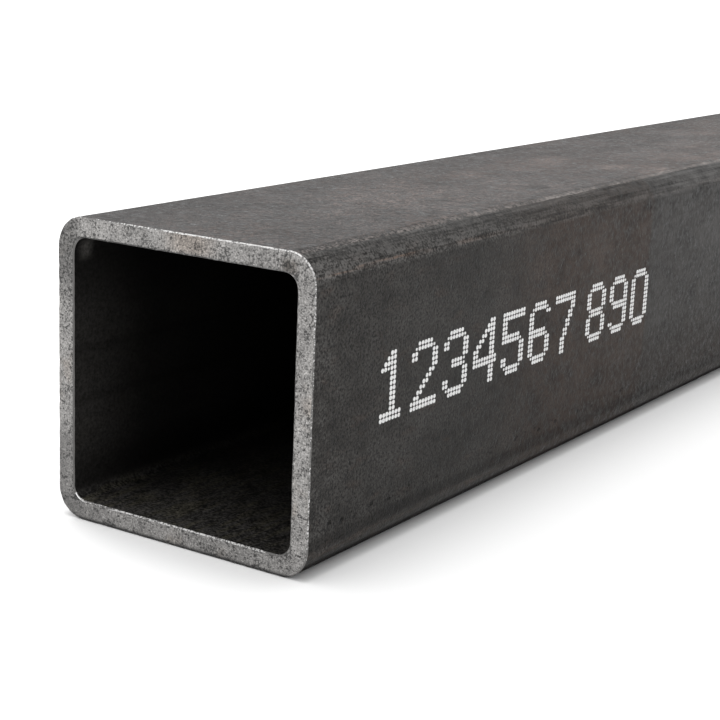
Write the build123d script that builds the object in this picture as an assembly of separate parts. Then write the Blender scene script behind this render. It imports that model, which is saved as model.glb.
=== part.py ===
from build123d import *
import os

# A cut length of square steel hollow section, lying on one of its flat sides.
# Sizes are in millimetres. X is across the tube, Y runs along it and Z is up.
# The origin is on the plane that the tube lies on, under the middle of its length.

# Section
outer_width = 90.0
wall = 6.0
outer_corner_radius = 9.0
inner_corner_radius = 4.5

# Cut piece
length = 1000.0
edge_break = 0.4  # leg of the small chamfer that deburring leaves on each sawn edge

# Worked out from the sizes above
bore_width = outer_width - 2 * wall
axis_height = outer_width / 2
front_end = -length / 2


def hollow_section():
    """The wall as seen end on: a rounded square with a rounded square bore, about the tube's axis."""
    outline = RectangleRounded(outer_width, outer_width, outer_corner_radius)
    bore = RectangleRounded(bore_width, bore_width, inner_corner_radius)
    return outline - bore


def break_sawn_edges(tube):
    """Chamfers the outer and the inner edge of both sawn ends."""
    sawn_faces = tube.faces().filter_by(Axis.Y)
    return chamfer(sawn_faces.edges(), edge_break)


def square_tube():
    """One rolled piece: the section run along Y from the front end to the back end."""
    front_plane = Plane(origin=(0, front_end, axis_height), x_dir=(1, 0, 0), z_dir=(0, 1, 0))
    tube = extrude(front_plane * hollow_section(), amount=length)
    return break_sawn_edges(tube)


os.makedirs("parts", exist_ok=True)
export_step(square_tube(), "parts/square_tube.step")
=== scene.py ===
import math
import random

import bpy
import numpy as np
from mathutils import Matrix, Vector, noise


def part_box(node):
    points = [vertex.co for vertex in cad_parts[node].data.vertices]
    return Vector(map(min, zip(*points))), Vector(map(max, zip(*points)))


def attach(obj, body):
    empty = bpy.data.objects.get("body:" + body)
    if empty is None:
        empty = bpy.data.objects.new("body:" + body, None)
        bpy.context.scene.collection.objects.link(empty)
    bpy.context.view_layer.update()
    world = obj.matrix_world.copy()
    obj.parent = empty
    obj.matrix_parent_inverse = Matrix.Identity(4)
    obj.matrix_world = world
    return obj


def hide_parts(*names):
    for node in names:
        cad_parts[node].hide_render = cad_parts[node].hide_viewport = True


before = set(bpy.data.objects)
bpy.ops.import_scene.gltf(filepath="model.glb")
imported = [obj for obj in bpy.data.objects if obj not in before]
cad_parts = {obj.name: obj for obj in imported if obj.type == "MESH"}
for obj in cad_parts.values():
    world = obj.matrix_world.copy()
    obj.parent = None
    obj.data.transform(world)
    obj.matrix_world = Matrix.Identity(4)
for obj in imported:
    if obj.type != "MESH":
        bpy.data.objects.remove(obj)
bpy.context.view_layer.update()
tubeLow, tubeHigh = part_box("square_tube")
frontEnd, backEnd = tubeLow.y, tubeHigh.y
axisHeight = (tubeLow.z + tubeHigh.z) / 2
halfSide = (tubeHigh.x - tubeLow.x) / 2
print("frame loaded: a tube", round(backEnd - frontEnd, 3), "m long and", round(2 * halfSide, 3), "m across")


# the camera of the photograph, found from the straight edges of the tube
cameraSet = {
    "azimuth": 32.91,  # degrees round from the front end towards the right side
    "elevation": 13.97,
    "roll": 2.35,
    "lens": 83.92,  # mm, on a sensor 36 mm wide
    "sensor": 36,
    "distance": 0.4639,  # along the line of sight to the middle of the front end
    "right": -0.05014,  # how far that middle lies right of the line of sight
    "up": -0.00926,  # and above it
    "clip": (0.01, 50),
}


def addCamera(s):
    azimuth, elevation, roll = (math.radians(s[name]) for name in ("azimuth", "elevation", "roll"))
    level = math.cos(elevation)
    back = Vector((math.sin(azimuth) * level, -math.cos(azimuth) * level, math.sin(elevation)))
    sideways = Vector((0, 0, 1)).cross(back).normalized()
    upright = back.cross(sideways)
    right = sideways * math.cos(roll) + upright * math.sin(roll)
    up = upright * math.cos(roll) - sideways * math.sin(roll)
    seen = Vector((0, frontEnd, axisHeight))
    place = seen - right * s["right"] - up * s["up"] + back * s["distance"]
    data = bpy.data.cameras.new("camera")
    data.lens, data.sensor_width = s["lens"], s["sensor"]
    data.clip_start, data.clip_end = s["clip"]
    camera = bpy.data.objects.new("camera", data)
    camera.matrix_world = Matrix.Translation(place) @ Matrix((right, up, back)).transposed().to_4x4()
    bpy.context.scene.collection.objects.link(camera)
    bpy.context.scene.camera = camera


addCamera(cameraSet)
print("camera placed")


# short ways to write a node tree
def addNode(tree, kind, feeds=None, **settings):
    made = tree.nodes.new("ShaderNode" + kind)
    for name, value in settings.items():
        setattr(made, name, value)
    for name, value in (feeds or {}).items():
        if isinstance(value, bpy.types.NodeSocket):
            tree.links.new(value, made.inputs[name])
        else:
            made.inputs[name].default_value = value
    return made


def startMaterial(name):
    material = bpy.data.materials.new(name)
    material.use_nodes = True
    tree = material.node_tree
    tree.nodes.clear()
    shader = addNode(tree, "BsdfPrincipled")
    output = addNode(tree, "OutputMaterial")
    tree.links.new(shader.outputs[0], output.inputs["Surface"])
    return material, tree, shader


# numbers: plain sums, masks from nothing to one, and factors about one
def reckon(tree, kind, a, b=0.0, c=0.0):
    return addNode(tree, "Math", {0: a, 1: b, 2: c}, operation=kind).outputs[0]


def times(tree, *values):
    product = values[0]
    for value in values[1:]:
        product = reckon(tree, "MULTIPLY", product, value)
    return product


def most(tree, *values):
    largest = values[0]
    for value in values[1:]:
        largest = reckon(tree, "MAXIMUM", largest, value)
    return largest


def less(tree, value, taken):
    return reckon(tree, "SUBTRACT", value, taken)


def capped(tree, value, limit, softness):
    # rounds the value off as it nears the limit
    return reckon(tree, "SMOOTH_MIN", value, limit, softness)


def ramp(tree, value, start, end, low=0.0, high=1.0):
    # goes smoothly from low to high while the value goes from start to end
    feeds = {"Value": value, "From Min": start, "From Max": end, "To Min": low, "To Max": high}
    made = addNode(tree, "MapRange", feeds, interpolation_type="SMOOTHSTEP", clamp=True)
    return made.outputs["Result"]


def hill(tree, value, middle, half, soft):
    # one within half of the middle, falling to nothing over soft
    away = reckon(tree, "ABSOLUTE", less(tree, value, middle))
    return ramp(tree, away, half, half + soft, 1.0, 0.0)


def mixedNumber(tree, share, a, b):
    return addNode(tree, "Mix", {0: share, 2: a, 3: b}, data_type="FLOAT").outputs[0]


def onlyOn(tree, share, factor):
    # the factor on this share of the surface, and one elsewhere
    return mixedNumber(tree, share, 1.0, factor)


def swayed(tree, share, strength):
    # a factor of one plus so much of the strength
    return reckon(tree, "MULTIPLY_ADD", share, strength, 1.0)


def swayedBy(tree, tone, at, sways):
    # each named place is made lighter or darker by its own strength
    for name, strength in sways.items():
        tone = times(tree, tone, swayed(tree, at[name], strength))
    return tone


# places on the tube, and grains laid over them; at holds both by name
def tubePlaces(tree):
    place = addNode(tree, "TexCoord").outputs["Object"]
    axes = addNode(tree, "SeparateXYZ", {0: place}).outputs
    along = less(tree, axes["Y"], frontEnd)
    nearest = reckon(tree, "MINIMUM", along, less(tree, backEnd - frontEnd, along))
    return {
        "place": place,
        "across": axes["X"],
        "height": axes["Z"],
        "along": along,  # from the front end
        "nearest": nearest,  # from the nearer end
    }


def stretched(tree, place, along):
    # squeezes the place along the tube, so that a grain comes out longer that way
    return addNode(tree, "VectorMath", {0: place, 1: (1, 1 / along, 1)}, operation="MULTIPLY").outputs[0]


def slanted(tree, place, degrees, along):
    # the same along a slanting line, this many degrees from across the tube towards its back end
    feeds = {"Vector": place, "Angle": -math.radians(degrees)}
    turned = addNode(tree, "VectorRotate", feeds, rotation_type="Z_AXIS").outputs[0]
    return addNode(tree, "VectorMath", {0: turned, 1: (1 / along, 1, 1)}, operation="MULTIPLY").outputs[0]


def grain(tree, place, size, along=1, detail=3.0, roughness=0.55):
    # noise of this size in metres, from nothing to one, drawn out along the tube
    if along != 1:
        place = stretched(tree, place, along)
    feeds = {"Vector": place, "Scale": 1 / size, "Detail": detail, "Roughness": roughness}
    return addNode(tree, "TexNoise", feeds).outputs["Fac"]


def addGrains(tree, at, grains):
    for name, settings in grains.items():
        at[name] = grain(tree, at["place"], **settings)


def specks(tree, place, size, reach, share):
    # round spots up to reach of a cell across, in about that share of the cells
    core, sure = 0.4, 0.6  # how much of each spot, and of the chosen cells, is at full strength
    cells = addNode(tree, "TexVoronoi", {"Vector": place, "Scale": 1 / size}, feature="F1")
    chance = addNode(tree, "SeparateColor", {0: cells.outputs["Color"]}).outputs[0]
    spot = ramp(tree, cells.outputs["Distance"], reach * core, reach, 1.0, 0.0)
    return times(tree, spot, ramp(tree, chance, 1 - share, 1 - share * sure))


def layeredTone(tree, at, sways):
    # each named grain is about one half, and sways the tone about one this strongly
    tone = 1 - sum(sways.values()) / 2
    for name, sway in sways.items():
        tone = reckon(tree, "MULTIPLY_ADD", at[name], sway, tone)
    return tone


def bumped(tree, shader, at, relief):
    # each named height of 0 to 1 with its depth in metres
    normal = None
    for name, depth in relief.items():
        feeds = {"Height": at[name], "Distance": depth, "Strength": 1.0}
        if normal is not None:
            feeds["Normal"] = normal
        normal = addNode(tree, "Bump", feeds).outputs[0]
    tree.links.new(normal, shader.inputs["Normal"])


# colours
def grey(level, warm=0.0):
    return (level * (1 + warm), level, level * (1 - warm), 1)


def mixed(tree, share, a, b):
    feeds = {0: share, 6: a, 7: b}
    return addNode(tree, "Mix", feeds, data_type="RGBA", clamp_factor=True).outputs[2]


def toned(tree, colour, tone):
    return addNode(tree, "VectorMath", {0: colour, "Scale": tone}, operation="SCALE").outputs[0]


def faded(tree, colour, saturation):
    return addNode(tree, "HueSaturation", {"Color": colour, "Saturation": saturation}).outputs[0]


# dark scale from the rolling mill on the four outer sides
scaleSet = {
    "base": grey(0.0296, 0.060),
    "brown": (0.0383, 0.0289, 0.0242, 1),
    "blue": (0.0405, 0.0383, 0.0368, 1),
    "rust": (0.0390, 0.0290, 0.0237, 1),  # the line in the corner near the ends
    "topWarm": (0.0632, 0.0500, 0.0450, 1),  # the top side: a weathered layer, and painted lighter as light from above
    "topPale": (0.0598, 0.0509, 0.0478, 1),
    "rim": (0.150, 0.1350, 0.1270, 1),  # the worn line where it ends
    "roughness": 0.55,
    "underRoughness": 0.95,  # below the lower corners
    "grains": {
        "fine": {"size": 0.0008, "roughness": 0.7},
        "patch": {"size": 0.0019, "roughness": 0.65},
        "spot": {"size": 0.0048, "along": 1.4},
        "cloud": {"size": 0.013, "along": 1.6},
        "drift": {"size": 0.038, "along": 2.2, "detail": 2.0},
        "rolled": {"size": 0.0008, "along": 40},
        "streaky": {"size": 0.0021, "along": 9},
        "wideStreak": {"size": 0.0022, "along": 22, "detail": 2.0},
        "dash": {"size": 0.0018, "along": 9},
        "smudge": {"size": 0.012, "along": 2.5, "detail": 2.0},
        "smear": {"size": 0.026, "detail": 2.0},
        "wander": {"size": 0.010},
        "fleck": {"size": 0.0045, "along": 3},
    },
    "brushSlant": (31, 3.2),  # rubbed marks on the top side: their slant in degrees, and their stretch
    "brushGrain": {"size": 0.0015, "detail": 2.0},
    "roughGrain": {"patch": 1.6, "fine": 1.2, "spot": 0.6},
    "relief": {"patch": 0.00015, "pitted": 0.00012, "rolled": 0.00003},
    "pitDepth": 0.8,
    # where its parts begin and end round the section, counted from the edge of the nearest level side
    "topSide": (0.0034, 0.0039, 1.0, 0.0),  # the top side, weathered and painted lighter as light from above, ends inside the rounded corner
    "corner": (0.0118, 0.0134, 1.0, 0.0),
    # painted shade under the lower corners and up the lower bends, where the tube meets the floor
    "under": (0.0104, 0.0080),
    "lowBendShade": (0.0124, 0.0104),
    "ragged": 0.0006,
    # lines along the upper and the lower corners: middle, half width and softness
    "upperLines": {
        "cornerLine": (0.0112, 0.0003, 0.0007),
        "darkLine": (0.0070, 0.0005, 0.0012),
        "rim": (0.0031, 0.0006, 0.0014),
    },
    "lowerLines": {
        "pitRow": (0.0194, 0.0005, 0.0009),
        "band": (0.0152, 0.0008, 0.0016),
        "footLine": (0.0122, 0.0005, 0.0011),
    },
    "middleSoft": 0.001,
    "dashes": (0.36, 0.58),
    "rimGaps": (0.72, 0.92),
    "rimStart": (0.0, 0.07, 0.40, 1.0),
    "rimShine": (0.06, 0.18),
    "rustFade": (0.05, 0.12, 1.0, 0.2),
    "smudges": (0.52, 0.68),
    "smears": (0.42, 0.60),
    "rowSpecks": (0.0024, 0.42, 0.6),  # their cell size, reach and share
    "rowStretch": 1.5,
    "pitSpecks": (0.0024, 0.24, 0.20),
    # the foot near the floor: browner, and painted darker away from the ends as shade
    "footHeight": (0.012, 0.045, 1.0, 0.0),
    "paintedFootShade": (0.05, 0.25),
    # how light it is; fades go by the distance from the nearer end
    "sharp": {"fine": 7.0, "patch": 3.4},
    "smooth": {"patch": 1.6, "streaky": 1.4},
    "coarseFade": (0.02, 0.26, 1.0, 0.45),
    "bendCoarse": -0.25,
    "large": {"spot": 2.4, "cloud": 1.2, "drift": 0.7},
    "darkest": 0.2,
    "lightest": (2.3, 0.6),  # each limit with its softness
    "bendStreaks": {"rolled": 3.0, "wideStreak": 1.8, "fine": 2.4},
    "bendLight": (0.16, 0.26, 0.78, 0.94),
    "bendScuff": (0.08, 0.13, 0.2, 0.0),
    "rubbed": {"fine": 6.4, "patch": 2.6, "brushed": 3.6},
    "lightestRubbed": (3.4, 0.8),
    "lightestRim": (1.5, 0.6),
    "places": {
        "cornerLine": 0.14,
        "rimShine": 0.35,
        "smudges": -0.22,
        "smears": -0.27,
        "darkLine": -0.12,
        "pitRow": -0.65,
        "band": -0.33,
        "footLine": 0.15,
        "pits": -0.40,
        # painted shade on the foot, away from the ends
        "paintedFootShade": -0.32,
        # painted shade under the lower corners and up the lower bends
        "under": -0.52,
        "lowBendShade": -0.14,
    },
    "endLight": (0.004, 0.022, 1.26, 1.0),
    # tinted lengths of the sides: start and end from the front end, and how softly each begins and ends
    "brownZones": [(0.116, 0.213, 0.030, 0.0012), (0.47, 0.60, 0.05, 0.03), (0.80, 0.90, 0.03, 0.03)],
    "blueZones": [(0.213, 0.34, 0.0012, 0.04), (0.60, 0.72, 0.03, 0.05)],
    "leftShift": (-0.002, 0.002, 0.17, 0.0),  # the left side has them this much nearer the front end
    "wander": 0.006,
    "bendShare": -0.6,  # the corners take less of them
    "blueHeight": (0.015, 0.060, 0.1, 1.0),
    "flecks": (0.56, 0.70, 0.0, 0.5),
    "footLineShare": 0.8,
    "footFade": (0.10, 0.20, 0.0, 0.5),
    "topDrift": (0.58, 0.42),
    "topAcross": (-0.045, 0.012, 0.60, 0.99),  # the top side is darker to the left and near the ends
    "topNear": (0.0, 0.110, 0.56, 1.07),
    "topFar": (0.11, 0.24, 1.0, 1.22),
    "paleFade": (1.2, 2.6, 1.0, 0.6),  # the lightest grains lose colour
    "topKept": 0.85,
}


def addScaleParts(tree, s, at):
    # the top side, the bends next to it and the part underneath, with slightly ragged borders
    at["arc"] = addNode(tree, "Attribute", attribute_name="arc").outputs["Fac"]
    at["ragged"] = reckon(tree, "MULTIPLY_ADD", less(tree, at["patch"], 0.5), s["ragged"], at["arc"])
    at["upper"] = ramp(tree, at["height"], axisHeight - s["middleSoft"], axisHeight + s["middleSoft"])
    at["lower"] = less(tree, 1.0, at["upper"])
    at["topSide"] = times(tree, ramp(tree, at["ragged"], *s["topSide"]), at["upper"])
    corner = times(tree, ramp(tree, at["ragged"], *s["corner"]), at["upper"])
    at["inBend"] = times(tree, corner, less(tree, 1.0, at["topSide"]))
    # painted shade under the lower corners and up the lower bends, near the floor; the part under the corners
    # is also rougher
    at["under"] = times(tree, ramp(tree, at["arc"], *s["under"]), at["lower"])
    at["lowBendShade"] = times(tree, ramp(tree, at["arc"], *s["lowBendShade"]), at["lower"])


def addUpperMarks(tree, s, at):
    # in the upper corners a light brownish line, a dark line and the rim, and smears on the top side
    for name, line in s["upperLines"].items():
        at[name] = times(tree, hill(tree, at["ragged"], *line), at["upper"])
    at["broken"] = ramp(tree, at["dash"], *s["dashes"])
    at["cornerLine"] = times(tree, at["cornerLine"], at["broken"])
    at["rust"] = times(tree, at["cornerLine"], ramp(tree, at["nearest"], *s["rustFade"]))
    gaps = mixedNumber(tree, at["broken"], *s["rimGaps"])
    at["rim"] = times(tree, at["rim"], at["topSide"], gaps, ramp(tree, at["nearest"], *s["rimStart"]))
    at["rimShine"] = times(tree, at["rim"], ramp(tree, at["nearest"], *s["rimShine"]))
    at["smudges"] = times(tree, ramp(tree, at["smudge"], *s["smudges"]), at["topSide"])
    at["smears"] = times(tree, ramp(tree, at["smear"], *s["smears"]), at["topSide"])


def addLowerMarks(tree, s, at):
    # low on the sides a row of pits, a dark band, a light line where the corner begins, and painted shade on
    # the foot away from the ends
    for name, line in s["lowerLines"].items():
        at[name] = times(tree, hill(tree, at["ragged"], *line), at["lower"])
    rowPlace = stretched(tree, at["place"], s["rowStretch"])
    at["pitRow"] = times(tree, at["pitRow"], specks(tree, rowPlace, *s["rowSpecks"]))
    at["pits"] = most(tree, specks(tree, at["place"], *s["pitSpecks"]), at["pitRow"])
    at["foot"] = times(tree, ramp(tree, at["height"], *s["footHeight"]), at["lower"])
    at["paintedFootShade"] = times(tree, at["foot"], ramp(tree, at["nearest"], *s["paintedFootShade"]))


def scaleTone(tree, s, at):
    # the grain is coarsest near the ends, smoother and more drawn out along the middle
    coarse = ramp(tree, at["nearest"], *s["coarseFade"])
    coarse = times(tree, coarse, swayed(tree, at["inBend"], s["bendCoarse"]))
    smooth, sharp = (layeredTone(tree, at, s[name]) for name in ("smooth", "sharp"))
    tone = mixedNumber(tree, coarse, smooth, sharp)
    tone = times(tree, tone, layeredTone(tree, at, s["large"]))
    tone = capped(tree, most(tree, tone, s["darkest"]), *s["lightest"])

    # streaks in the upper bends, rubbed marks on the top side, and less contrast on its rim
    tone = times(tree, tone, onlyOn(tree, at["inBend"], layeredTone(tree, at, s["bendStreaks"])))
    tone = times(tree, tone, swayed(tree, at["inBend"], ramp(tree, at["nearest"], *s["bendLight"])))
    rubbed = onlyOn(tree, times(tree, at["topSide"], coarse), layeredTone(tree, at, s["rubbed"]))
    tone = capped(tree, times(tree, tone, rubbed), *s["lightestRubbed"])
    tone = times(tree, tone, swayed(tree, at["inBend"], ramp(tree, at["nearest"], *s["bendScuff"])))
    tone = mixedNumber(tree, at["rim"], tone, capped(tree, tone, *s["lightestRim"]))
    tone = swayedBy(tree, tone, at, s["places"])
    return times(tree, tone, ramp(tree, at["nearest"], *s["endLight"]))


def zoneMask(tree, along, zones):
    mask = 0.0
    for start, end, softStart, softEnd in zones:
        rise = ramp(tree, along, start - softStart, start + softStart)
        fall = ramp(tree, along, end - softEnd, end + softEnd, 1.0, 0.0)
        mask = reckon(tree, "MULTIPLY_ADD", rise, fall, mask)
    return mask


def sideColour(tree, s, at):
    # brown and blue-grey lengths with wandering ends, brown flecks, and rust in the corner line
    shifted = less(tree, at["along"], s["wander"] / 2)
    shifted = reckon(tree, "MULTIPLY_ADD", at["wander"], s["wander"], shifted)
    shifted = reckon(tree, "ADD", shifted, ramp(tree, at["across"], *s["leftShift"]))
    plain = swayed(tree, at["inBend"], s["bendShare"])
    lengths = times(tree, zoneMask(tree, shifted, s["brownZones"]), plain)
    flecks = times(tree, ramp(tree, at["fleck"], *s["flecks"]), plain)
    footLine = times(tree, at["footLine"], at["broken"], s["footLineShare"])
    foot = times(tree, at["foot"], ramp(tree, at["nearest"], *s["footFade"]))
    brown = most(tree, lengths, flecks, footLine, foot)
    blue = times(tree, zoneMask(tree, shifted, s["blueZones"]), ramp(tree, at["height"], *s["blueHeight"]))
    colour = mixed(tree, brown, s["base"], s["brown"])
    colour = mixed(tree, blue, colour, s["blue"])
    return mixed(tree, at["rust"], colour, s["rust"])


def topColour(tree, s, at):
    # drifting tints, and the worn rim
    tints = mixed(tree, ramp(tree, at["drift"], *s["topDrift"]), s["topWarm"], s["topPale"])
    across = ramp(tree, at["across"], *s["topAcross"])
    near, far = (ramp(tree, at["nearest"], *s[name]) for name in ("topNear", "topFar"))
    tints = toned(tree, tints, times(tree, across, near, far))
    return mixed(tree, at["rim"], tints, s["rim"])


def millScale(s):
    material, tree, shader = startMaterial("millScale")
    at = tubePlaces(tree)
    addGrains(tree, at, s["grains"])
    at["brushed"] = grain(tree, slanted(tree, at["place"], *s["brushSlant"]), **s["brushGrain"])
    addScaleParts(tree, s, at)
    addUpperMarks(tree, s, at)
    addLowerMarks(tree, s, at)
    tone = scaleTone(tree, s, at)
    # the top side takes lighter colours: a weathered layer and painted light from above
    colour = mixed(tree, at["topSide"], sideColour(tree, s, at), topColour(tree, s, at))
    topKept = times(tree, at["topSide"], s["topKept"])
    kept = most(tree, ramp(tree, tone, *s["paleFade"]), at["rust"], topKept)
    tree.links.new(toned(tree, faded(tree, colour, kept), tone), shader.inputs["Base Color"])
    shader.inputs["Metallic"].default_value = 1.0
    rough = times(tree, layeredTone(tree, at, s["roughGrain"]), s["roughness"])
    tree.links.new(mixedNumber(tree, at["under"], rough, s["underRoughness"]), shader.inputs["Roughness"])
    at["pitted"] = less(tree, at["fine"], times(tree, at["pits"], s["pitDepth"]))
    bumped(tree, shader, at, s["relief"])
    return material


# the inside, where the scale is darker still, with the light falling in from the open ends painted on as
# light and shade
boreSet = {
    "base": grey(0.0150, 0.055),
    "brown": (0.0168, 0.0153, 0.0094, 1),
    "brownStreaks": (0.45, 0.62, 0.0, 0.5),
    "wallBrown": -0.9,  # the walls have hardly any
    "grains": {
        "fine": {"size": 0.0009, "roughness": 0.7},
        "patch": {"size": 0.0032, "along": 2},
        "drawn": {"size": 0.0022, "along": 7},
        "cloud": {"size": 0.014, "along": 2},
    },
    "floorGrain": {"fine": 9.0, "patch": 2.4, "drawn": 1.2, "cloud": 1.2},
    "wallGrain": {"fine": 3.0, "cloud": 0.5},
    "darkestFloor": 0.15,
    "floorTop": (0.0062, 0.0090),  # the walls begin between these heights
    # painted light and shade: from and to this depth, height or place across, the tone goes from and to this
    # much
    "wallFade": (0.003, 0.037, 1.15, 0.30),
    "floorFade": (0.012, 0.062, 1.08, 0.60),
    "deepFade": (0.055, 0.14, 1.0, 0.30),
    "floorAcross": (-0.036, 0.015, 2.0, 1.5),
    "wallHeight": (0.016, 0.056, 1.28, 1.08),
    "roofHeight": (0.054, 0.078, 1.0, 0.38),
    # darker places: painted shade on the floor beside the left wall and in the lower bend, and two faint
    # lines along the walls
    "besideAcross": (-0.036, -0.016, 1.0, 0.0),
    "besideDepth": (0.005, 0.032),
    "bendStart": (0.0072, 0.0094),
    "bendEnd": (0.013, 0.024, 1.0, 0.0),
    "lowerLine": (0.0355, 0.0004, 0.0016),
    "upperLine": (0.0502, 0.0004, 0.0016),
    # a painted reflection: a pale place in the upper left corner, by depth, height and place across
    "reflectionDepth": (0.0050, 0.0, 0.0042),
    "reflectionHeight": (0.0800, 0.0, 0.0045),
    "reflectionAcross": (-0.034, -0.037),
    # painted shade beside the left wall and in the bend, and a painted reflection at the pale spot
    "places": {"beside": -0.58, "bend": -0.48, "lowerLine": -0.22, "upperLine": -0.22, "spot": 8.0},
    "specular": 0.10,
    "roughness": 0.66,
    "roughGrain": {"cloud": 0.4},
    "relief": {"cloud": 0.0001, "fine": 0.00003},
}


def addBoreMarks(tree, s, at):
    # painted shade on the floor beside the left wall and in the lower bend
    beside = ramp(tree, at["across"], *s["besideAcross"])
    deep = ramp(tree, at["nearest"], *s["besideDepth"])
    at["beside"] = times(tree, beside, deep, less(tree, 1.0, at["wall"]))
    start, end = (ramp(tree, at["height"], *s[name]) for name in ("bendStart", "bendEnd"))
    at["bend"] = times(tree, start, end)
    for name in ("lowerLine", "upperLine"):
        at[name] = hill(tree, at["height"], *s[name])
    # a painted reflection in the upper left corner
    spot = times(tree, hill(tree, at["nearest"], *s["reflectionDepth"]), hill(tree, at["height"], *s["reflectionHeight"]))
    at["spot"] = times(tree, spot, ramp(tree, at["across"], *s["reflectionAcross"]))


def boreTone(tree, s, at):
    # coarse on the floor and soft on the walls, with painted shade deeper in and towards the roof, and
    # painted light towards the left of the floor and low on the walls
    floor = most(tree, layeredTone(tree, at, s["floorGrain"]), s["darkestFloor"])
    tone = mixedNumber(tree, at["wall"], floor, layeredTone(tree, at, s["wallGrain"]))
    floorFade, wallFade, deepFade = (
        ramp(tree, at["nearest"], *s[name]) for name in ("floorFade", "wallFade", "deepFade")
    )
    tone = times(tree, tone, mixedNumber(tree, at["wall"], floorFade, wallFade), deepFade)
    across = ramp(tree, at["across"], *s["floorAcross"])
    up = ramp(tree, at["height"], *s["wallHeight"])
    tone = times(tree, tone, mixedNumber(tree, at["wall"], across, up))
    tone = times(tree, tone, ramp(tree, at["height"], *s["roofHeight"]))
    return swayedBy(tree, tone, at, s["places"])


def boreScale(s):
    material, tree, shader = startMaterial("boreScale")
    at = tubePlaces(tree)
    addGrains(tree, at, s["grains"])
    at["wall"] = ramp(tree, at["height"], *s["floorTop"])
    addBoreMarks(tree, s, at)
    brown = times(tree, ramp(tree, at["drawn"], *s["brownStreaks"]), swayed(tree, at["wall"], s["wallBrown"]))
    colour = mixed(tree, brown, s["base"], s["brown"])
    tree.links.new(toned(tree, colour, boreTone(tree, s, at)), shader.inputs["Base Color"])
    shader.inputs["Specular IOR Level"].default_value = s["specular"]
    rough = times(tree, layeredTone(tree, at, s["roughGrain"]), s["roughness"])
    tree.links.new(rough, shader.inputs["Roughness"])
    bumped(tree, shader, at, s["relief"])
    return material


# the sawn ends: bare grey steel with a granular face
cutSet = {
    "base": grey(0.243, 0.030),
    "stain": (0.237, 0.211, 0.189, 1),
    "metallic": 0.3,
    "roughness": 0.55,
    "grains": {
        "fine": {"size": 0.0005, "roughness": 0.7},
        "medium": {"size": 0.0011, "detail": 4.0, "roughness": 0.7},
        "clump": {"size": 0.0042, "detail": 2.0},
        "blotch": {"size": 0.0085, "detail": 2.0},
        "crack": {"size": 0.00075, "detail": 4.0, "roughness": 0.7},
        "paleGrain": {"size": 0.0006},
        "tint": {"size": 0.011, "detail": 2.0},
    },
    "toneGrain": {"fine": 3.4, "medium": 1.6, "blotch": 0.9},
    "roughGrain": {"fine": 0.5, "medium": 0.3},
    "relief": {"medium": 0.00005, "pitted": 0.00005},
    "pitDepth": 0.8,
    "darkest": 0.35,
    # the left wall is darker, apart from its middle, and so is the foot, most of all to the left
    "leftAcross": (-0.040, -0.034, 1.0, 0.0),
    "leftMiddle": (0.047, 0.008, 0.022),
    "leftShade": 0.62,
    "footHeight": (0.004, 0.010, 1.0, 0.0),
    "footShade": (-0.036, -0.014, 0.696, 0.87),
    # painted shadow along the lowest edge, where it meets the floor
    "paintedContactShadow": (0.0004, 0.0015, 0.10, 1.0),
    # dark pits: in clumps, thickest beside the bore and at the tops of the left and right walls
    "clumps": (0.44, 0.64),
    "besideBore": (0.0388, 0.0406, 1.5, 0.0),
    "leftTop": (0.050, 0.072, 0.0, 0.9),
    "rightAcross": (0.010, 0.030, 0.0, 0.55),
    "rightTop": (0.0785, 0.083),
    "clumpShare": -0.09,
    "cracks": (0.44, 0.33),
    "pitSpecks": (0.0011, 0.36, 0.22),
    "paleGrains": (0.52, 0.66),
    # a smudge by the upper right corner of the bore, a stain on the upper wall, and faint ones all over
    "smudgeAcross": (0.0363, 0.0005, 0.0034),
    "smudgeHeight": (0.0857, 0.0003, 0.0026),
    "smudgeGrain": (0.36, 0.56, 0.35, 1.0),
    "stainAcross": (0.003, 0.002, 0.010),
    "stainHeight": (0.083, 0.086),
    "faintStains": (0.60, 0.76, 0.0, 0.6),
    "places": {"dark": -0.80, "pale": 0.42, "smudge": -0.70},
}


def addPits(tree, s, at):
    # outward is how far a place lies from the middle of the bore, across or up
    up = reckon(tree, "ABSOLUTE", less(tree, at["height"], axisHeight))
    outward = most(tree, reckon(tree, "ABSOLUTE", at["across"]), up)
    leftTop = times(tree, at["left"], ramp(tree, at["height"], *s["leftTop"]))
    right = ramp(tree, at["across"], *s["rightAcross"])
    rightTop = times(tree, right, ramp(tree, at["height"], *s["rightTop"]))
    besideBore = ramp(tree, outward, *s["besideBore"])
    share = most(tree, ramp(tree, at["clump"], *s["clumps"]), besideBore, leftTop, rightTop)
    cracks = ramp(tree, reckon(tree, "MULTIPLY_ADD", share, s["clumpShare"], at["crack"]), *s["cracks"])
    at["dark"] = most(tree, cracks, specks(tree, at["place"], *s["pitSpecks"]))


def addStains(tree, s, at):
    across = hill(tree, at["across"], *s["smudgeAcross"])
    up = hill(tree, at["height"], *s["smudgeHeight"])
    at["smudge"] = times(tree, across, up, ramp(tree, at["medium"], *s["smudgeGrain"]))
    across = hill(tree, at["across"], *s["stainAcross"])
    stain = times(tree, across, ramp(tree, at["height"], *s["stainHeight"]))
    at["stain"] = most(tree, stain, ramp(tree, at["tint"], *s["faintStains"]), at["smudge"])


def cutTone(tree, s, at):
    leftWall = mixedNumber(tree, hill(tree, at["height"], *s["leftMiddle"]), s["leftShade"], 1.0)
    footShade = ramp(tree, at["across"], *s["footShade"])
    tone = times(tree, layeredTone(tree, at, s["toneGrain"]), onlyOn(tree, at["left"], leftWall))
    tone = times(tree, tone, onlyOn(tree, ramp(tree, at["height"], *s["footHeight"]), footShade))
    tone = swayedBy(tree, most(tree, tone, s["darkest"]), at, s["places"])
    # a painted contact shadow along the lowest edge
    return times(tree, tone, ramp(tree, at["height"], *s["paintedContactShadow"]))


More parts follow.
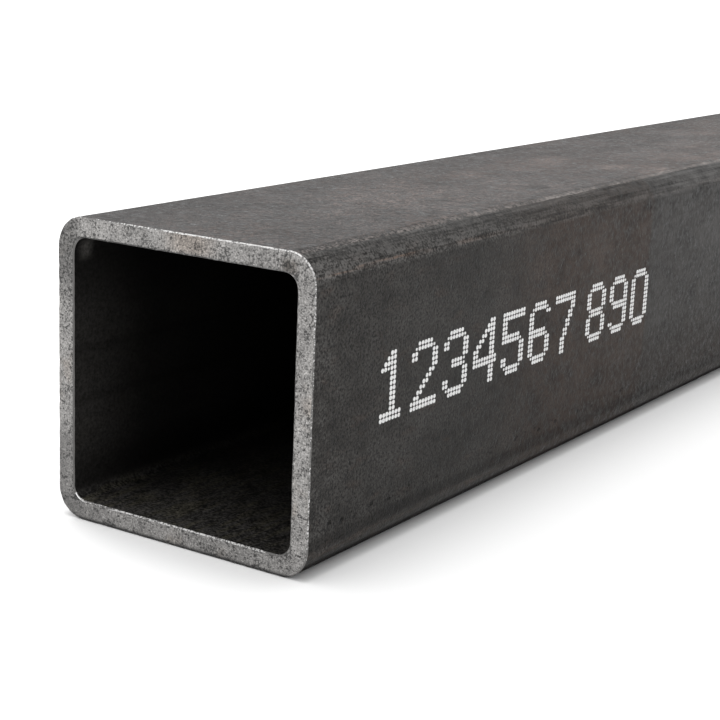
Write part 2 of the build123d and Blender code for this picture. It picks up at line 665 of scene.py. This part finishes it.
def sawnSteel(s):
    material, tree, shader = startMaterial("sawnSteel")
    at = tubePlaces(tree)
    addGrains(tree, at, s["grains"])
    at["left"] = ramp(tree, at["across"], *s["leftAcross"])
    at["pale"] = ramp(tree, at["paleGrain"], *s["paleGrains"])
    addPits(tree, s, at)
    addStains(tree, s, at)
    colour = mixed(tree, at["stain"], s["base"], s["stain"])
    tree.links.new(toned(tree, colour, cutTone(tree, s, at)), shader.inputs["Base Color"])
    shader.inputs["Metallic"].default_value = s["metallic"]
    rough = times(tree, layeredTone(tree, at, s["roughGrain"]), s["roughness"])
    tree.links.new(rough, shader.inputs["Roughness"])
    at["pitted"] = less(tree, at["fine"], times(tree, at["dark"], s["pitDepth"]))
    bumped(tree, shader, at, s["relief"])
    return material


# the narrow edge that deburring leaves: bright metal, broken by bits of scale, with painted highlights where
# an edge faces the light
edgeSet = {
    "bright": grey(0.58, 0.01),
    # near white, for the painted highlight at the corner of the bore's foot
    "worn": grey(0.95),
    "dull": grey(0.13, 0.03),
    "metallic": 0.3,
    "roughness": 0.45,
    "dullRoughness": 0.65,
    "grains": {
        "broken": {"size": 0.0007, "roughness": 0.7},
        "wide": {"size": 0.007, "detail": 2.0},
    },
    "relief": {"broken": 0.00006},
    # painted highlights: how much of each edge is bright, most on the upper outer one and the lower edge of
    # the bore, which face the light
    "upperHeight": (0.079, 0.086),
    "upperAcross": (-0.040, 0.030, 0.45, 1.0),
    "boreFootHeight": (0.0058, 0.0004, 0.0005),
    "boreFootLeft": (-0.034, -0.016, 0.6, 0.88),
    "boreFootRight": (0.029, 0.033, 1.0, 0.1),
    "rightAcross": (0.0440, 0.0446, 0.0, 0.55),
    "elsewhere": 0.12,
    # a painted highlight: the left corner of the bore's foot is painted near white next to the sawn face
    "glintAcross": (-0.0374, 0.0008, 0.0005),
    "glintHeight": (0.0070, 0.0006, 0.0005),
    "glintDepth": (0.00016, 0.00030, 1.0, 0.0),
    "glintShare": 1.2,
    "amountShare": 0.26,
    "wideShare": 0.3,
    "shine": (0.81, 0.91),
    # painted shade: a contact shadow at the floor, and darker along the roof of the bore
    "paintedContactShadow": (0.0003, 0.0016, 0.15, 1.0),
    "roofHeight": (0.0842, 0.0003, 0.0005),
    "roofAcross": (0.0, 0.0390, 0.0010),
    "roofShade": -0.62,
}


# a painted highlight at the left corner of the bore's foot
def glintPlace(tree, s, at):
    worn = times(tree, hill(tree, at["across"], *s["glintAcross"]), hill(tree, at["height"], *s["glintHeight"]))
    return times(tree, worn, ramp(tree, at["nearest"], *s["glintDepth"]))


# painted highlights: the edges that face the light are made bright
def highlightShare(tree, s, at, worn):
    upper = ramp(tree, at["height"], *s["upperHeight"])
    upper = times(tree, upper, ramp(tree, at["across"], *s["upperAcross"]))
    boreFoot = hill(tree, at["height"], *s["boreFootHeight"])
    for name in ("boreFootLeft", "boreFootRight"):
        boreFoot = times(tree, boreFoot, ramp(tree, at["across"], *s[name]))
    right = ramp(tree, at["across"], *s["rightAcross"])
    amount = most(tree, upper, boreFoot, right, s["elsewhere"])
    amount = reckon(tree, "MULTIPLY_ADD", worn, s["glintShare"], amount)
    bits = reckon(tree, "MULTIPLY_ADD", at["wide"], s["wideShare"], at["broken"])
    return ramp(tree, reckon(tree, "MULTIPLY_ADD", amount, s["amountShare"], bits), *s["shine"])


def brightEdge(s):
    material, tree, shader = startMaterial("brightEdge")
    at = tubePlaces(tree)
    addGrains(tree, at, s["grains"])
    # the corner of the bore's foot takes a painted highlight
    worn = glintPlace(tree, s, at)
    shine = highlightShare(tree, s, at, worn)
    roof = times(tree, hill(tree, at["height"], *s["roofHeight"]), hill(tree, at["across"], *s["roofAcross"]))
    # a painted contact shadow at the floor, and painted shade along the roof of the bore
    shade = times(tree, ramp(tree, at["height"], *s["paintedContactShadow"]), swayed(tree, roof, s["roofShade"]))
    colour = mixed(tree, shine, s["dull"], mixed(tree, worn, s["bright"], s["worn"]))
    tree.links.new(toned(tree, colour, shade), shader.inputs["Base Color"])
    shader.inputs["Metallic"].default_value = s["metallic"]
    rough = ramp(tree, shine, 0.0, 1.0, s["dullRoughness"], s["roughness"])
    tree.links.new(rough, shader.inputs["Roughness"])
    bumped(tree, shader, at, s["relief"])
    return material


# the tube, as one closed mesh round the section and along the walls
tubeSet = {
    "wall": 0.006,
    "outerRadius": 0.009,
    "innerRadius": 0.0045,
    "edgeBreak": 0.0004,  # across the narrow edge at each sawn end
    "edgeWander": 0.45,  # how unevenly it was broken
    "edgeWave": 0.0022,
    "sideSteps": 58,
    "bendSteps": 14,
    "skinSteps": 116,
    "boreSteps": 84,
    "faceSteps": 8,
    "skinDepth": 0.00008,  # the outer sides lie this far inside the CAD faces, under the ink
    "skinRelief": 0.00002,
    "skinWaves": [(0.6, 0, 0.006, 4), (0.4, 1, 0.0025, 3)],  # share, shift across, size and stretch
    "boreWave": (0.008, 3),
    "faceStart": 0.1,  # where a sawn face begins across its band of the flat map
    "faceShare": 0.8,  # and how much of the band it takes; the broken edges have the rest
    "sawRelief": 0.00003,
    "sawWave": 0.0016,
    # the line that the rolls leave along each bend: its height, then a ridge and a groove beside it,
    # each with its share, where it lies in the bend and its width
    "rollMark": 0.00003,
    "rollLines": [(1, 0.0004, 0.0007), (-0.6, 0.0026, 0.0009)],
    "sharpAngle": 28,
}


def sectionLoop(half, radius, sideSteps, bendSteps):
    # points round a rounded square from the foot, their outward directions, and their distance along
    # the section from where the nearest level side ends, counted into the corner and up the wall
    flat = half - radius
    quarter = radius * math.pi / 2
    points, outs, arcs = [], [], []
    for side in range(4):
        turn = math.radians(90 * side - 90)
        out = np.array((math.cos(turn), math.sin(turn)))
        on = np.array((-out[1], out[0]))
        level = side % 2 == 0
        for i in range(sideSteps):
            slide = -flat * math.cos(math.pi * i / sideSteps)
            points.append(out * half + on * slide)
            outs.append(out)
            arcs.append(abs(slide) - flat if level else quarter + flat - abs(slide))
        for i in range(bendSteps):
            part = i / bendSteps
            face = out * math.cos(part * math.pi / 2) + on * math.sin(part * math.pi / 2)
            points.append((out + on) * flat + face * radius)
            outs.append(face)
            arcs.append(quarter * (part if level else 1 - part))
    return np.array(points), np.array(outs), np.array(arcs)


def spread(steps):
    # parts of a length from nothing to one, closest together at both ends
    return [0.5 - 0.5 * math.cos(math.pi * i / steps) for i in range(steps + 1)]


def wave(x, y, z, size, stretch=1.0):
    return noise.noise(Vector((x / size, y / size / stretch, z / size)))


def skinDepth(s, point, arc, y):
    # how far the outer skin lies inside its true face, always a little more than nothing
    x, z = point
    middle = s["outerRadius"] * math.pi / 4
    bend = middle - abs(arc - middle)
    line = sum(share * math.exp(-((bend - place) / width) ** 2) for share, place, width in s["rollLines"])
    relief = sum(share * wave(x + shift, y, z, size, long) for share, shift, size, long in s["skinWaves"])
    return s["skinDepth"] - s["rollMark"] * line - s["skinRelief"] * relief


def edgeWidth(s, point, y):
    return s["edgeBreak"] * (1 + s["edgeWander"] * wave(point[0], y, point[1], s["edgeWave"]))


def alongWall(s, points, part):
    # how far along the tube each point of a ring lies, from one broken edge to the other
    firsts = np.array([frontEnd + edgeWidth(s, p, frontEnd) for p in points])
    lasts = np.array([backEnd - edgeWidth(s, p, backEnd) for p in points])
    return firsts + (lasts - firsts) * part


def oneRing(points, ys, arcs, finish, band, across):
    # a ring with the finish and the band that follow it, and how far across that band it lies
    places = np.column_stack((points[:, 0], ys, points[:, 1] + axisHeight))
    return {"places": places, "arcs": arcs, "finish": finish, "band": band, "across": across}


def skinRings(s, points, outs, arcs):
    rings = []
    for part in spread(s["skinSteps"]):
        ys = alongWall(s, points, part)
        sunk = [p - o * skinDepth(s, p, c, y) for p, o, c, y in zip(points, outs, arcs, ys)]
        last = part == 1
        band, across = ("backEnd", 0) if last else ("skin", part)
        rings.append(oneRing(np.array(sunk), ys, arcs, "edge" if last else "skin", band, across))
    return rings


def boreRings(s, points, outs, arcs):
    rings = []
    for part in spread(s["boreSteps"]):
        ys = alongWall(s, points, 1 - part)
        waves = [wave(p[0], y, p[1], *s["boreWave"]) for p, y in zip(points, ys)]
        waved = [p + o * s["skinRelief"] * w for p, o, w in zip(points, outs, waves)]
        last = part == 1
        band, across = ("frontEnd", 0) if last else ("bore", part)
        rings.append(oneRing(np.array(waved), ys, arcs, "edge" if last else "bore", band, across))
    return rings


def setIn(s, points, outs, side, y):
    # a loop moved by the width of the broken edge
    return np.array([p + side * o * edgeWidth(s, p, y) for p, o in zip(points, outs)])


def faceRings(s, y, inward, fromLoop, toLoop, arcs, band):
    # over a sawn end, from one broken edge to the other
    rings = []
    for step in range(s["faceSteps"] + 1):
        part = step / s["faceSteps"]
        points = fromLoop * (1 - part) + toLoop * part
        ys = [y + inward * s["sawRelief"] * (1 + wave(p[0], y, p[1], s["sawWave"])) for p in points]
        last = step == s["faceSteps"]
        across = s["faceStart"] + s["faceShare"] * part
        rings.append(oneRing(points, ys, arcs, "edge" if last else "cut", band, across))
    return rings


def tubeRings(s):
    # along the skin, over the back end, back through the bore and over the front end
    counts = s["sideSteps"], s["bendSteps"]
    outer, outerOuts, outerArcs = sectionLoop(halfSide, s["outerRadius"], *counts)
    inner, innerOuts, innerArcs = sectionLoop(halfSide - s["wall"], s["innerRadius"], *counts)
    outerBack, outerFront = (setIn(s, outer, outerOuts, -1, y) for y in (backEnd, frontEnd))
    innerBack, innerFront = (setIn(s, inner, innerOuts, 1, y) for y in (backEnd, frontEnd))
    rings = skinRings(s, outer, outerOuts, outerArcs)
    rings += faceRings(s, backEnd, -1, outerBack, innerBack, outerArcs, "backEnd")
    rings += boreRings(s, inner, innerOuts, innerArcs)
    rings += faceRings(s, frontEnd, 1, innerFront, outerFront, outerArcs, "frontEnd")
    for ring, after in zip(rings, rings[1:] + rings[:1]):
        ring["next"] = after["across"] if after["band"] == ring["band"] and after["across"] > 0 else 1
    return rings


# where each band of the tube lies on its flat map: the skin and the bore as wide bands, the ends as strips
mapSet = {
    "border": 0.004,
    "bands": {
        "skin": (0.004, 0.564),
        "bore": (0.574, 0.904),
        "frontEnd": (0.916, 0.944),
        "backEnd": (0.958, 0.986),
    },
}


def layFlat(mesh, rings, s):
    loop = rings[0]["places"][:, [0, 2]]
    steps = np.linalg.norm(np.roll(loop, -1, axis=0) - loop, axis=1)
    turned = np.concatenate(([0], np.cumsum(steps))) / steps.sum()  # how far round, from nothing to one
    spots = []
    for ring in rings:
        foot, head = s["bands"][ring["band"]]
        lengthwise = ring["band"] in ("skin", "bore")
        for i in range(len(loop)):
            corners = (i, ring["across"]), (i + 1, ring["across"]), (i + 1, ring["next"]), (i, ring["next"])
            for step, part in corners:
                right, up = (part, turned[step]) if lengthwise else (turned[step], part)
                spots.append((s["border"] + (1 - 2 * s["border"]) * right, foot + (head - foot) * up))
    layer = mesh.uv_layers.new(name="OFBake")
    layer.data.foreach_set("uv", np.array(spots).ravel())


def placePiece(name, points, faces, sharpAngle):
    mesh = bpy.data.meshes.new(name)
    mesh.from_pydata(points, [], faces)
    mesh.polygons.foreach_set("use_smooth", [True] * len(faces))
    mesh.update()
    mesh.set_sharp_from_angle(angle=math.radians(sharpAngle))
    piece = bpy.data.objects.new(name, mesh)
    bpy.context.scene.collection.objects.link(piece)
    return piece


def makeTube(s, materials):
    rings = tubeRings(s)
    around = len(rings[0]["places"])
    finishes = list(materials)
    faces, worn = [], []
    for r, ring in enumerate(rings):
        here, after = r * around, (r + 1) % len(rings) * around
        for i in range(around):
            j = (i + 1) % around
            faces.append((here + i, here + j, after + j, after + i))
            worn.append(finishes.index(ring["finish"]))
    points = np.concatenate([ring["places"] for ring in rings])
    piece = placePiece("squareTube", points.tolist(), faces, s["sharpAngle"])
    mesh = piece.data
    for material in materials.values():
        mesh.materials.append(material)
    mesh.polygons.foreach_set("material_index", worn)
    arc = mesh.attributes.new("arc", "FLOAT", "POINT")
    arc.data.foreach_set("value", np.concatenate([ring["arcs"] for ring in rings]))
    layFlat(mesh, rings, mapSet)
    return piece


materials = {
    "skin": millScale(scaleSet),
    "bore": boreScale(boreSet),
    "cut": sawnSteel(cutSet),
    "edge": brightEdge(edgeSet),
}
print("finishes made:", ", ".join(material.name for material in materials.values()))
tube = makeTube(tubeSet, materials)
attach(tube, "root")
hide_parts("square_tube")
print("tube made:", len(tube.data.polygons), "faces")


# plain digits in white ink on the right side, printed as rows of round dots
markSet = {
    "groups": [("1234567", 0.0322), ("890", 0.1637)],  # each with its first dot, from the front end
    "foot": 0.0381,  # the lowest dots, above the floor
    "columnPitch": 0.00162,
    "rowPitch": 0.00147,
    "advance": 0.0179,  # from digit to digit
    "halfWidth": 0.00079,
    "halfHeight": 0.00071,
    "smallDot": 0.7,
    "sizes": (0.93, 1.04),
    "wander": 0.00004,
    "seed": 7,
    "sink": 0.00005,  # the foot of a dot lies this far under the skin
    "crest": 0.00001,  # and its top this far inside the CAD face
    "domes": [(0.94, 0.00003), (0.66, 0.000005)],  # rings of a dot: how wide, and how far below its top
    "rounds": 12,
    "sharpAngle": 50,
}

# nine dots wide and fourteen high; a small dot is an o
dotDigits = {
    "1": ("....##...", "...###...", "..####...", ".##o##...", "....##...", "....##...", "....##...",
          "....##...", "....##...", "....##...", "....##...", "....##...", ".#######.", ".#######."),
    "2": ("..#####..", ".o#####o.", "##.....##", "##.....##", ".......##", ".......##", "......##.",
          ".....##..", "....##...", "...##....", "..##.....", ".##......", "#########", "#########"),
    "3": ("..#####..", ".o#####o.", "##.....##", "##.....##", ".......##", ".......##", "...####o.",
          "...####o.", ".......##", ".......##", "##.....##", "##.....##", ".o#####o.", "..#####.."),
    "4": ("......##.", ".....###.", "....####.", "...##.##.", "..##..##.", ".##...##.", "##....##.",
          "##....##.", "#########", "#########", "......##.", "......##.", "......##.", "......##."),
    "5": ("#########", "#########", "##.......", "##.......", "##.......", "#######..", "#######o.",
          ".......##", ".......##", ".......##", "##.....##", "##.....##", ".o#####o.", "..#####.."),
    "6": ("..#####..", ".o#####o.", "##.....##", "##.......", "##.......", "##.......", "#######..",
          "#######o.", "##.....##", "##.....##", "##.....##", "##.....##", ".o#####o.", "..#####.."),
    "7": ("#########", "#########", ".......##", ".......##", "......##.", "......##.", ".....##..",
          ".....##..", "....##...", "....##...", "...##....", "...##....", "...##....", "...##...."),
    "8": ("..#####..", ".o#####o.", "##.....##", "##.....##", "##.....##", "##.....##", ".o#####o.",
          ".o#####o.", "##.....##", "##.....##", "##.....##", "##.....##", ".o#####o.", "..#####.."),
    "9": ("..#####..", ".o#####o.", "##.....##", "##.....##", "##.....##", "##.....##", ".o#######",
          "..#######", ".......##", ".......##", ".......##", "##.....##", ".o#####o.", "..#####.."),
    "0": ("..#####..", ".o#####o.", "##.....##", "##.....##", "##.....##", "##.....##", "##.....##",
          "##.....##", "##.....##", "##.....##", "##.....##", "##.....##", ".o#####o.", "..#####.."),
}


def markDots(s):
    # the middle and the size of every dot, as distances along the tube and up its side
    dots = []
    for digits, start in s["groups"]:
        for place, digit in enumerate(digits):
            lines = dotDigits[digit]
            for row, line in enumerate(lines):
                up = s["foot"] + (len(lines) - 1 - row) * s["rowPitch"]
                for column, dot in enumerate(line):
                    along = frontEnd + start + place * s["advance"] + column * s["columnPitch"]
                    if dot != ".":
                        dots.append((along, up, s["smallDot"] if dot == "o" else 1))
    return dots


def inkDot(s, first, along, up, width, height):
    # a low dome: rings of points with one on top; its points are numbered on from the first
    base, crest = halfSide - tubeSet["skinDepth"] - s["sink"], halfSide - s["crest"]
    rounds = s["rounds"]
    rings = [(1.0, base)] + [(reach, crest - depth) for reach, depth in s["domes"]]
    points, faces = [], []
    for reach, x in rings:
        for k in range(rounds):
            turn = 2 * math.pi * k / rounds
            points.append((x, along + math.cos(turn) * width * reach, up + math.sin(turn) * height * reach))
    points.append((crest, along, up))
    top = first + len(rings) * rounds
    for low in range(first, top - rounds, rounds):
        for k in range(rounds):
            after = (k + 1) % rounds
            faces.append((low + k, low + after, low + after + rounds, low + k + rounds))
    for k in range(rounds):
        faces.append((top - rounds + k, top - rounds + (k + 1) % rounds, top))
    faces.append(tuple(first + k for k in reversed(range(rounds))))
    return points, faces


def makeMark(s, material):
    random.seed(s["seed"])
    points, faces = [], []
    for along, up, size in markDots(s):
        along += random.uniform(-1, 1) * s["wander"]
        up += random.uniform(-1, 1) * s["wander"]
        size *= random.uniform(*s["sizes"])
        dot = inkDot(s, len(points), along, up, size * s["halfWidth"], size * s["halfHeight"])
        points += dot[0]
        faces += dot[1]
    piece = placePiece("inkMark", points, faces, s["sharpAngle"])
    piece.data.materials.append(material)
    return piece


inkSet = {
    "white": grey(0.69, 0.002),
    "thin": grey(0.43, 0.003),
    "grains": {"worn": {"size": 0.0006}, "rough": {"size": 0.0004}},
    "thinPlaces": (0.50, 0.70),
    "roughness": 0.6,
    "relief": {"rough": 0.00002},
}


def whiteInk(s):
    material, tree, shader = startMaterial("whiteInk")
    at = {"place": addNode(tree, "TexCoord").outputs["Object"]}
    addGrains(tree, at, s["grains"])
    thin = ramp(tree, at["worn"], *s["thinPlaces"])
    tree.links.new(mixed(tree, thin, s["white"], s["thin"]), shader.inputs["Base Color"])
    shader.inputs["Roughness"].default_value = s["roughness"]
    bumped(tree, shader, at, s["relief"])
    return material


mark = makeMark(markSet, whiteInk(inkSet))
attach(mark, "root")
print("ink made:", len(mark.data.polygons), "faces")


# a plain pale floor and soft light from above and from the left
studioSet = {
    "floorSize": 30,
    "floorColour": grey(0.92),
    "sky": 0.985,
    # which way each light comes from, how wide it is in degrees and how strong
    "lights": {
        "above": {"from": (-0.07, 0.015, 1.0), "width": 38, "strength": 1.25},
        "left": {"from": (-1.0, 0.35, 0.50), "width": 34, "strength": 1.5},
    },
}


def makeFloor(s):
    half = s["floorSize"] / 2
    corners = [(-half, -half, 0), (half, -half, 0), (half, half, 0), (-half, half, 0)]
    mesh = bpy.data.meshes.new("floor")
    mesh.from_pydata(corners, [], [(0, 1, 2, 3)])
    material, _, shader = startMaterial("paleFloor")
    shader.inputs["Base Color"].default_value = s["floorColour"]
    shader.inputs["Roughness"].default_value = 1.0
    shader.inputs["Specular IOR Level"].default_value = 0.0
    mesh.materials.append(material)
    floor = bpy.data.objects.new("floor", mesh)
    bpy.context.scene.collection.objects.link(floor)


def makeLight(s):
    world = bpy.data.worlds.new("softRoom")
    world.use_nodes = True
    background = world.node_tree.nodes["Background"]
    background.inputs["Color"].default_value = (1, 1, 1, 1)
    background.inputs["Strength"].default_value = s["sky"]
    bpy.context.scene.world = world
    for name, lamp in s["lights"].items():
        data = bpy.data.lights.new(name, "SUN")
        data.energy, data.angle = lamp["strength"], math.radians(lamp["width"])
        light = bpy.data.objects.new(name, data)
        light.rotation_euler = Vector(lamp["from"]).to_track_quat("Z", "Y").to_euler()
        bpy.context.scene.collection.objects.link(light)
    bpy.context.scene.view_settings.view_transform = "Standard"


makeFloor(studioSet)
makeLight(studioSet)
print("floor and light set")
